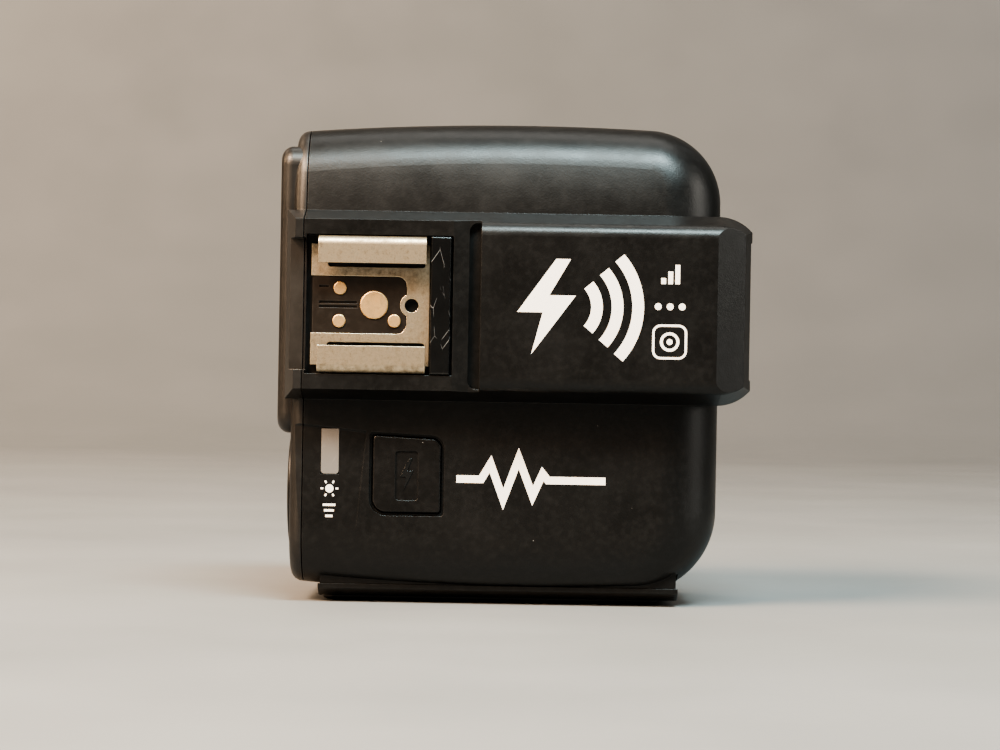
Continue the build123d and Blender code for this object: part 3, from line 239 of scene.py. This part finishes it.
def metal(name, colour, dark, roughness, patch=1.0, tarnish=0.8):
    """Worn plated steel: mottled tarnish, fine scratches and small pits."""
    made = Finish(name, colour, roughness, Metallic=1.0)
    made.round_edges(EDGE_ROUNDING)
    mottled = made.noise(size=patch, detail=6.0, rough=0.65)
    specks = made.noise(size=0.16, detail=2.0, offset=2.0)
    stained = made.math("MULTIPLY", made.ramp(mottled, low=0.38, high=0.66), tarnish)
    pitted = made.ramp(specks, low=0.55, high=0.72, out_high=0.5)
    stained = made.math("ADD", stained, pitted)
    base = made.mix_colour(stained, colour, dark)
    edges = made.edge_mask(radius=0.3)
    made.colour(made.mix_colour(edges, base, tinted(colour, 1.25, top=1.0)))

    edge_shine = 0.12
    smoother, rougher = roughness - 0.06, roughness + 0.14
    rough = made.ramp(mottled, low=0.3, high=0.7, out_low=smoother, out_high=rougher)
    made.roughness(made.math("SUBTRACT", rough, made.math("MULTIPLY", edges, edge_shine)))

    made.bump(specks, depth=0.006)
    scratches = made.noise(size=0.5, detail=2.0, stretch=(0.06, 1.0, 1.0), offset=7.0)
    made.bump(scratches, depth=0.004)
    return made.material


def polished(name, colour, roughness, scratch=0.5, **sockets):
    """Glossy plastic with hairline scratches and fingerprints."""
    made = Finish(name, colour, roughness, **sockets)
    made.round_edges(EDGE_ROUNDING)
    haze = made.noise(size=4.0, detail=5.0, rough=0.6)
    lines = made.cells(size=2.3, feature="DISTANCE_TO_EDGE", stretch=(1.0, 1.0, 0.35))
    hair = made.ramp(lines["Distance"], low=0.012, high=0.0)
    patchy = made.ramp(made.noise(size=3.0, offset=4.0), low=0.5, high=0.62)
    marks = made.math("MULTIPLY", made.math("MULTIPLY", hair, patchy), scratch)
    made.colour(made.mix_colour(marks, colour, tinted(colour, 2.0, lift=0.12, top=1.0)))

    haze_dulling = 0.12
    scratch_dulling = 0.4
    duller = roughness + haze_dulling
    rough = made.ramp(haze, low=0.35, high=0.75, out_low=roughness, out_high=duller)
    made.roughness(made.math("ADD", rough, made.math("MULTIPLY", marks, scratch_dulling)))
    made.bump(made.noise(size=6.0, detail=1.0), depth=0.02, strength=0.3)
    return made.material


def ink(name, colour):
    """Pad-printed ink: slightly uneven, with a few pinholes."""
    made = Finish(name, colour, roughness=0.55)
    worn = made.noise(size=0.35, rough=0.7)
    thin = made.ramp(worn, low=0.60, high=0.78)
    made.colour(made.mix_colour(thin, colour, tinted(colour, 0.62)))
    made.roughness(made.ramp(worn, low=0.3, high=0.7, out_low=0.45, out_high=0.65))
    made.bump(worn, depth=0.004)
    return made.material


def rubbery(name, colour):
    """Soft-touch silicone with lint and fine tooth."""
    made = Finish(name, colour, roughness=0.62)
    made.round_edges(RUBBER_ROUNDING)
    lint = made.noise(size=0.5, detail=4.0)
    linty = made.ramp(lint, low=0.5, high=0.8, out_high=0.5)
    made.colour(made.mix_colour(linty, colour, tinted(colour, 1.6)))
    made.roughness(made.ramp(lint, low=0.3, high=0.7, out_low=0.55, out_high=0.75))
    made.bump(made.cells(size=0.16)["Distance"], depth=0.008)
    return made.material


def lacquered_board(name, colour):
    """Circuit board: lacquer over faint copper tracks."""
    made = Finish(name, colour, roughness=0.35)
    tracks = made.cells(size=2.4, feature="DISTANCE_TO_EDGE", randomness=0.25)
    copper = made.ramp(tracks["Distance"], low=0.09, high=0.05)
    made.colour(made.mix_colour(copper, colour, tinted(colour, 1.9, lift=0.01)))
    uneven = made.noise(size=1.5)
    made.roughness(made.ramp(uneven, low=0.3, high=0.7, out_low=0.28, out_high=0.42))
    made.bump(copper, depth=0.02)
    return made.material


# Each material slot of the CAD, with its maker, colour and roughness.
FINISHES = {
    "housing_black": partial(
        moulded, colour=(0.0020, 0.0018, 0.0016), roughness=0.385, gloss=0.23
    ),
    "panel_black": partial(
        moulded, colour=(0.0042, 0.0036, 0.0030), roughness=0.40, depth=0.007, gloss=0.33
    ),
    "button_black": partial(
        moulded, colour=(0.0020, 0.0017, 0.0015), roughness=0.34, depth=0.006, gloss=0.22
    ),
    "insert_black": partial(
        moulded, colour=(0.0080, 0.0054, 0.0036), roughness=0.36, grain=0.3, wear=1.0, gloss=0.30
    ),
    "part_black": partial(moulded, colour=(0.0150, 0.0150, 0.0150), roughness=0.45, wear=0.7),
    "white_plastic": partial(moulded, colour=(0.72, 0.72, 0.69), roughness=0.45, dust=0.0),
    "gloss_black": partial(
        polished, colour=(0.003, 0.003, 0.003), roughness=0.14, scratch=1.0,
        Specular_IOR_Level=0.35,
    ),
    "display_glass": partial(polished, colour=(0.010, 0.011, 0.012), roughness=0.08, scratch=0.2),
    "display_cell": partial(polished, colour=(0.20, 0.24, 0.19), roughness=0.25),
    "lamp_red": partial(polished, colour=(0.020, 0.0015, 0.002), roughness=0.12, scratch=0.2),
    "clear_led": partial(polished, colour=(0.30, 0.03, 0.03), roughness=0.10),
    "light_pipe": partial(polished, colour=(0.10, 0.092, 0.084), roughness=0.32, scratch=0.2),
    "cell_wrap": partial(polished, colour=(0.02, 0.05, 0.09), roughness=0.25),
    "steel": partial(
        metal, colour=(0.43, 0.355, 0.255), dark=(0.11, 0.084, 0.055), roughness=0.40
    ),
    "contact": partial(
        metal, colour=(0.62, 0.42, 0.21), dark=(0.34, 0.21, 0.09), roughness=0.42, patch=0.8
    ),
    "spring_steel": partial(
        metal, colour=(0.62, 0.60, 0.56), dark=(0.36, 0.34, 0.31), roughness=0.28, tarnish=0.4
    ),
    "pin_gold": partial(
        metal, colour=(0.86, 0.64, 0.28), dark=(0.60, 0.42, 0.17), roughness=0.24, tarnish=0.4
    ),
    "screw_steel": partial(
        metal, colour=(0.10, 0.10, 0.105), dark=(0.04, 0.04, 0.04), roughness=0.36
    ),
    "rubber": partial(rubbery, colour=(0.030, 0.030, 0.031)),
    "board_green": partial(lacquered_board, colour=(0.010, 0.085, 0.035)),
    "print_white": partial(ink, colour=(0.66, 0.62, 0.58)),
    "print_dark": partial(ink, colour=(0.035, 0.040, 0.036)),
}
finishes = {name: make(name) for name, make in FINISHES.items()}

for part in frame["record"]["subparts"]:
    mesh = nodes[part["node"]].data
    mesh.materials.clear()
    mesh.materials.append(finishes[part["material_slot"]])


# ---------------------------------------------------------------- shapes of the prints

# Shapes are points in millimetres, right and up from a sign's middle, and faces of them.
ORIGIN = (0.0, 0.0)
FULL_TURN = 360
DISC_STEPS = 28
CORNER_STEPS = 6
MITRE_LIMIT = 0.35
BOLT = [
    (0.10, 0.50), (-0.32, -0.06), (-0.04, -0.06), (-0.16, -0.50),
    (0.32, 0.12), (0.03, 0.12), (0.26, 0.50),
]
BOLT_WIDTH = 0.64
SPOKES = [(math.cos(math.radians(a)), math.sin(math.radians(a))) for a in range(0, FULL_TURN, 60)]


def filled(points):
    """A flat outline, as points and one face."""
    return points, [tuple(range(len(points)))]


def box_shape(middle, width, height):
    """A filled rectangle round its middle."""
    u, v = middle
    half_u, half_v = width / 2, height / 2
    corners = ((-1, -1), (1, -1), (1, 1), (-1, 1))
    return filled([(u + sign_u * half_u, v + sign_v * half_v) for sign_u, sign_v in corners])


def polar(middle, radius, angle):
    """The point at an angle in degrees round a middle."""
    turn = math.radians(angle)
    return middle[0] + radius * math.cos(turn), middle[1] + radius * math.sin(turn)


def arc_points(middle, radius, start, end, steps=20):
    """Points along an arc, between two angles in degrees."""
    return [polar(middle, radius, start + (end - start) * i / steps) for i in range(steps + 1)]


def disc(middle, radius):
    """A filled circle."""
    return filled(arc_points(middle, radius, 0, FULL_TURN, DISC_STEPS)[:-1])


def triangle(middle, size, turn):
    """A filled triangle that points along an angle in degrees."""
    return filled(arc_points(middle, size, turn, turn + FULL_TURN, 3)[:-1])


def bolt(middle, width, height):
    """A lightning bolt, the usual sign for a flash."""
    return filled([(middle[0] + u * width / BOLT_WIDTH, middle[1] + v * height) for u, v in BOLT])


def stroke(points, width, closed=False):
    """A line of even width along points, with mitred corners."""
    count = len(points)
    line = [Vector(p) for p in points]
    verts = []
    for i, here in enumerate(line):
        before = line[i - 1] if closed or i else None
        after = line[(i + 1) % count] if closed or i < count - 1 else None
        along_in = ((here - before) if before is not None else (after - here)).normalized()
        along_out = (after - here).normalized() if after is not None else along_in
        middle = (along_in + along_out).normalized()
        normal = Vector((-middle.y, middle.x))
        reach = width / 2 / max(MITRE_LIMIT, normal.dot(Vector((-along_in.y, along_in.x))))
        verts += [tuple(here - normal * reach), tuple(here + normal * reach)]
    faces = []
    for i in range(count if closed else count - 1):
        following = (i + 1) % count
        faces.append((2 * i, 2 * following, 2 * following + 1, 2 * i + 1))
    return verts, faces


def ring(radius, width):
    """A circle drawn as a line, round the middle of a sign."""
    return stroke(arc_points(ORIGIN, radius, 0, FULL_TURN)[:-1], width, closed=True)


def rays(middle, inner, outer, width):
    """Short lines that spread from a middle, between two radii."""
    u, v = middle
    return [
        stroke([(u + x * inner, v + y * inner), (u + x * outer, v + y * outer)], width)
        for x, y in SPOKES
    ]


def rounded_box(middle, width, height, radius, line):
    """The outline of a rectangle with round corners."""
    u, v = middle
    half_u, half_v = width / 2 - radius, height / 2 - radius
    points = []
    for sign_u, sign_v, start in ((1, 1, 0), (-1, 1, 90), (-1, -1, 180), (1, -1, 270)):
        corner = (u + sign_u * half_u, v + sign_v * half_v)
        points += arc_points(corner, radius, start, start + 90, CORNER_STEPS)
    return stroke(points, line, closed=True)


# ---------------------------------------------------------------- laying the prints on the part

# The directions to the right and up, as seen from outside, on each side of the housing.
SIDES = {
    "front": (Vector((1, 0, 0)), Vector((0, 0, 1))),
    "rear": (Vector((0, -1, 0)), Vector((0, 0, 1))),
    "top": (Vector((-1, 0, 0)), Vector((0, -1, 0))),
    "under": (Vector((-1, 0, 0)), Vector((0, 0, 1))),
}

# How far outside the surface the search for it starts, in metres.
PRINT_START = 2.5 * MM
# Heights over the surface, in millimetres.
PRINT_SINK = -0.02
PRINT_HEIGHT = 0.03
KEY_PRINT_HEIGHT = 0.04
FIELD_HEIGHT = 0.02
BUTTON_SIGN_HEIGHT = 0.12


def mark(
    name, side, centre, target, shapes,
    material="print_white", body="housing", height=PRINT_HEIGHT,
):
    """A thin raised print. Its shapes are laid on the target node, wherever its surface is."""
    right, up = SIDES[side]
    out = right.cross(up)
    middle = Vector(centre) * MM
    mesh_maker = bmesh.new()
    for points, faces in shapes:
        verts = [mesh_maker.verts.new((u, v, 0)) for u, v in points]
        for face in faces:
            mesh_maker.faces.new([verts[i] for i in face])
    grown = bmesh.ops.extrude_face_region(mesh_maker, geom=mesh_maker.faces[:])["geom"]
    tops = {v for v in grown if isinstance(v, bmesh.types.BMVert)}
    surface = nodes[target]
    for vert in mesh_maker.verts:
        above = middle + (right * vert.co.x + up * vert.co.y) * MM + out * PRINT_START
        hit, place, _, _ = surface.ray_cast(above, -out)
        if not hit:
            raise ValueError(f"the print {name} reaches past {target}")
        vert.co = place + out * (height if vert in tops else PRINT_SINK) * MM
    bmesh.ops.recalc_face_normals(mesh_maker, faces=mesh_maker.faces[:])
    mesh = bpy.data.meshes.new(name)
    mesh_maker.to_mesh(mesh)
    mesh_maker.free()
    piece = bpy.data.objects.new(name, mesh)
    bpy.context.collection.objects.link(piece)
    mesh.materials.append(finishes[material])
    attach(piece, body)


def middle_of(name):
    """The middle of a node's box, in millimetres."""
    low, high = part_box(name)
    return tuple((low + high) / 2 / MM)


def front_prints():
    """The signs on the shoe side: a flash sign with radio waves, small signs and a pulse."""
    spine_y, shell_y = -26, -19
    column_x = 23.4

    wave_radii = (5.0, 8.1, 11.2)
    wave_angle = 42
    source = (-2.6, 0.0)
    waves = [
        stroke(arc_points(source, radius, -wave_angle, wave_angle), width=1.75)
        for radius in wave_radii
    ]
    flash = [bolt((-5.2, 0.0), width=8.8, height=14.4)] + waves
    mark("flash_sign", "front", (10.0, spine_y, 45.9), "top_shell", flash)

    bars = []
    bar_foot = -1.4
    for i in range(3):
        bar_height = 0.9 + 1.0 * i
        bar_middle = (-1.05 + 1.05 * i, bar_foot + 0.5 * bar_height)
        bars.append(box_shape(bar_middle, width=0.72, height=bar_height))
    mark("signal_bars", "front", (column_x, spine_y, 51.0), "top_shell", bars)

    dots = [disc((u, 0.0), radius=0.52) for u in (-1.8, 0.0, 1.8)]
    mark("signal_dots", "front", (column_x, spine_y, 46.2), "top_shell", dots)

    badge = [
        rounded_box(ORIGIN, width=4.9, height=4.9, radius=1.1, line=0.34),
        ring(radius=1.25, width=0.42),
        disc(ORIGIN, radius=0.45),
    ]
    mark("channel_badge", "front", (column_x, spine_y, 40.9), "top_shell", badge)

    pulse = [
        (-11.4, 0.0), (-7.6, 0.0), (-6.2, 2.4), (-4.2, -3.0), (-1.9, 3.3),
        (0.3, -2.4), (1.8, 1.0), (2.6, 0.0), (11.4, 0.0),
    ]
    mark("pulse_sign", "front", (3.0, shell_y, 19.5), "top_shell", [stroke(pulse, width=1.15)])

    bulb = (0.0, 1.9)
    lamp = [disc(bulb, radius=0.62)] + rays(bulb, inner=0.95, outer=1.35, width=0.26)
    for i in range(3):
        lamp.append(box_shape((0.0, -0.6 - 0.85 * i), width=1.9 - 0.4 * i, height=0.34))
    mark("lamp_sign", "front", (-27.8, shell_y, 15.8), "top_shell", lamp)

    mark(
        "bolt_sign", "front", (-16.03, shell_y, 20.0), "test_button",
        [bolt(ORIGIN, width=2.0, height=5.0)],
        material="gloss_black", body="test_button", height=BUTTON_SIGN_HEIGHT,
    )


def key_prints():
    """A sign on each of the four keys."""
    line = 0.26
    square = (-0.5, 0.5)
    arcs = (0.6, 1.1, 1.6)
    bars = (-0.6, 0.0, 0.6)
    key_signs = {
        "mode_button": [stroke([(-1.1, 0.0), (-0.4, 0.7), (0.4, -0.7), (1.1, 0.0)], width=0.28)],
        "group_button": [disc((u, v), radius=0.3) for u in square for v in square],
        "channel_button": [
            stroke(arc_points((0, -0.8), radius, 45, 135, steps=8), line) for radius in arcs
        ],
        "menu_button": [box_shape((0.0, v), width=1.7, height=line) for v in bars],
    }
    for key, shapes in key_signs.items():
        sign = key.replace("button", "sign")
        mark(sign, "rear", middle_of(key), key, shapes, body=key, height=KEY_PRINT_HEIGHT)


def dial_prints():
    """Two arrows round the dial and a dot on the button in its middle."""
    dial_middle = middle_of("select_dial")
    arrow_radius = 10.6
    # Each arrow's tail and head angle, the angle of its tip and the way the tip points.
    arrows = {"dial_arrow_1": (206, 240, 202, 98), "dial_arrow_2": (334, 300, 338, 82)}
    for name, (start, end, tip_angle, turn) in arrows.items():
        tip = polar(ORIGIN, arrow_radius, tip_angle)
        bend = stroke(arc_points(ORIGIN, arrow_radius, start, end, steps=10), width=0.34)
        head = triangle(tip, size=0.75, turn=turn)
        mark(name, "rear", dial_middle, "rear_shell", [bend, head])
    mark(
        "set_sign", "rear", middle_of("set_button"), "set_button", [disc(ORIGIN, radius=0.7)],
        body="set_button", height=KEY_PRINT_HEIGHT,
    )


def display_prints():
    """A display that is switched off: its field, and the cells that would be lit."""
    pane = middle_of("display_window")
    # The inner edge of a hairline, taken as an outline.
    edge = rounded_box(ORIGIN, width=17.4, height=34.6, radius=0.6, line=0.02)[0][1::2]
    mark(
        "display_field", "rear", pane, "display_window", [filled(edge)],
        "display_cell", height=FIELD_HEIGHT,
    )
    status_v = 14.6
    battery = [
        rounded_box((-5.6, status_v), width=3.6, height=1.9, radius=0.3, line=0.24),
        box_shape((-3.5, status_v), width=0.4, height=0.9),
    ]
    for i in range(3):
        battery.append(box_shape((-6.6 + 0.95 * i, status_v), width=0.65, height=1.1))
    bars = []
    for i in range(4):
        bar_middle = (4.6 + 0.9 * i, 14.0 + 0.3 * i)
        bars.append(box_shape(bar_middle, width=0.6, height=0.7 + 0.6 * i))
    cells = battery + bars + [box_shape((0.0, 12.4), width=15.4, height=0.16)]
    first_row, row_pitch = 8.8, 6.6
    for row in range(4):
        v = first_row - row_pitch * row
        cells.append(rounded_box((-6.0, v), width=3.0, height=4.0, radius=0.5, line=0.3))
        for i in range(9 - 2 * row):
            cells.append(box_shape((-2.2 + 1.05 * i, v + 0.9), width=0.7, height=1.5))
        cells.append(box_shape((2.0, v - 1.7), width=9.2, height=0.14))
    mark(
        "display_cells", "rear", pane, "display_window", cells,
        "print_dark", height=KEY_PRINT_HEIGHT,
    )


def switch_side_prints():
    """Signs beside the switches and sockets."""
    y, z = 8.4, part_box("bottom_shell")[1].z / MM
    power_arc = stroke(arc_points(ORIGIN, 1.0, 120, 420, steps=16), width=0.32)
    power_bar = box_shape((0.0, 0.75), width=0.32, height=1.1)
    port_edge = rounded_box(ORIGIN, width=3.2, height=1.5, radius=0.5, line=0.3)
    port_tongue = box_shape(ORIGIN, width=1.6, height=0.4)
    beams = rays(ORIGIN, inner=0.95, outer=1.45, width=0.28)
    signs = {
        "power_sign": ("power_switch", [power_arc, power_bar]),
        "beam_sign": ("lamp_switch", [disc(ORIGIN, radius=0.6)] + beams),
        "port_sign": ("usb_port", [port_edge, port_tongue]),
        "jack_sign": ("sync_jack", [ring(radius=1.2, width=0.3), disc(ORIGIN, radius=0.45)]),
    }
    for name, (beside, shapes) in signs.items():
        mark(name, "top", (middle_of(beside)[0], y, z), "bottom_shell", shapes)


def under_prints():
    """The lock ring's arrow and padlock, beside the foot."""
    x, _, z = middle_of("lock_ring")
    arrow_radius = 14.6
    arrow = [
        stroke(arc_points(ORIGIN, arrow_radius, 150, 204, steps=16), width=0.42),
        triangle(polar(ORIGIN, arrow_radius, 147), size=1.0, turn=57),
    ]
    lock_u = -17.6
    lock = [
        box_shape((lock_u, 2.4), width=2.4, height=1.8),
        stroke(arc_points((lock_u, 3.3), 0.8, 0, 180, steps=8), width=0.36),
    ]
    mark("lock_sign", "under", (x, 17.0, z), "bottom_shell", arrow + lock)


front_prints()
key_prints()
dial_prints()
display_prints()
switch_side_prints()
under_prints()


# ---------------------------------------------------------------- floor, camera and light


def floor_material():
    """Pale grey table top, seamless with its backdrop."""
    made = Finish("floor_grey", (0.50, 0.50, 0.49), roughness=0.5)
    clouds = made.noise(size=60.0, detail=4.0)
    made.colour(made.mix_colour(clouds, (0.124, 0.126, 0.124), (0.145, 0.145, 0.142)))
    made.roughness(made.ramp(clouds, low=0.3, high=0.7, out_low=0.42, out_high=0.6))
    made.bump(made.noise(size=3.0), depth=0.03)
    return made.material


def make_floor():
    """A floor that sweeps up into a backdrop behind the object."""
    half_width, front_y, bend_y, radius, top_z = 2.4, -1.2, 0.75, 0.5, 2.2
    steps = 14
    profile = [(front_y, 0.0), (bend_y, 0.0)]
    for i in range(1, steps + 1):
        angle = math.pi / 2 * i / steps
        profile.append((bend_y + radius * math.sin(angle), radius * (1 - math.cos(angle))))
    profile.append((bend_y + radius, top_z))
    mesh = bpy.data.meshes.new("floor")
    points = [(x, y, z) for x in (-half_width, half_width) for y, z in profile]
    count = len(profile)
    faces = [(i, count + i, count + i + 1, i + 1) for i in range(count - 1)]
    mesh.from_pydata(points, [], faces)
    mesh.polygons.foreach_set("use_smooth", [True] * len(faces))
    floor = bpy.data.objects.new("floor", mesh)
    floor.data.materials.append(floor_material())
    bpy.context.collection.objects.link(floor)


def make_camera():
    """A level camera in front of the shoe side, a little rolled."""
    distance, height, side = 0.400, 0.0355, -0.0020
    roll = math.radians(1.0)
    spine_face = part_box("top_shell")[0].y
    data = bpy.data.cameras.new("camera")
    data.lens = 95.8
    data.sensor_width = 36.0
    data.clip_start = 0.01
    camera = bpy.data.objects.new("camera", data)
    camera.matrix_world = (
        Matrix.Translation((side, spine_face - distance, height))
        @ Matrix.Rotation(math.pi / 2, 4, "X")
        @ Matrix.Rotation(roll, 4, "Z")
    )
    bpy.context.collection.objects.link(camera)
    bpy.context.scene.camera = camera


def make_light(name, place, aim, size, power, colour):
    """A soft rectangular area light that looks at a point."""
    data = bpy.data.lights.new(name, "AREA")
    data.shape = "RECTANGLE"
    data.size, data.size_y = size
    data.energy = power
    data.color = colour
    light = bpy.data.objects.new(name, data)
    light.location = place
    light.rotation_euler = (Vector(aim) - Vector(place)).to_track_quat("-Z", "Y").to_euler()
    bpy.context.collection.objects.link(light)


def make_world(colour, strength):
    """Even light from all round."""
    world = bpy.data.worlds.new("studio")
    world.use_nodes = True
    background = world.node_tree.nodes["Background"]
    background.inputs["Color"].default_value = (*colour, 1)
    background.inputs["Strength"].default_value = strength
    bpy.context.scene.world = world


MIDDLE = (0.0, 0.0, 0.037)
BACKDROP_SIZE = (0.5, 0.3)
# Each light's name, place, aim, size, power in watts and colour.
LIGHTS = (
    ("strip_warm", (-0.40, -0.42, 0.58), MIDDLE, (0.36, 0.22), 30.0, (1.0, 0.71, 0.49)),
    ("strip_cool", (0.12, -0.41, 0.69), MIDDLE, (0.34, 0.16), 21.0, (0.76, 0.97, 1.0)),
    ("side_fill", (0.62, -0.16, 0.26), (0.03, 0.0, 0.04), (0.30, 0.40), 3.0, (1.0, 0.96, 0.88)),
    ("top_soft", (0.05, 0.14, 0.62), (0.0, 0.0, 0.07), (0.50, 0.16), 1.2, (0.98, 0.97, 0.92)),
    ("warm_front", (-0.60, -0.50, 0.32), MIDDLE, (0.20, 0.20), 6.0, (1.0, 0.70, 0.46)),
    ("warm_rim", (-0.62, 0.02, 0.30), (-0.03, 0.0, 0.04), (0.16, 0.30), 3.0, (1.0, 0.68, 0.42)),
    (
        "backdrop_warm", (-0.60, 0.45, 0.70), (-0.38, 1.25, 0.20),
        BACKDROP_SIZE, 17.5, (1.0, 0.75, 0.54),
    ),
    (
        "backdrop_cool", (0.50, 0.45, 0.70), (0.30, 1.25, 0.20),
        BACKDROP_SIZE, 3.3, (0.92, 0.96, 0.99),
    ),
)

make_floor()
make_camera()
for light_row in LIGHTS:
    make_light(*light_row)
make_world(colour=(0.92, 0.95, 1.0), strength=0.03)
bpy.context.scene.view_settings.look = "AgX - Medium High Contrast"
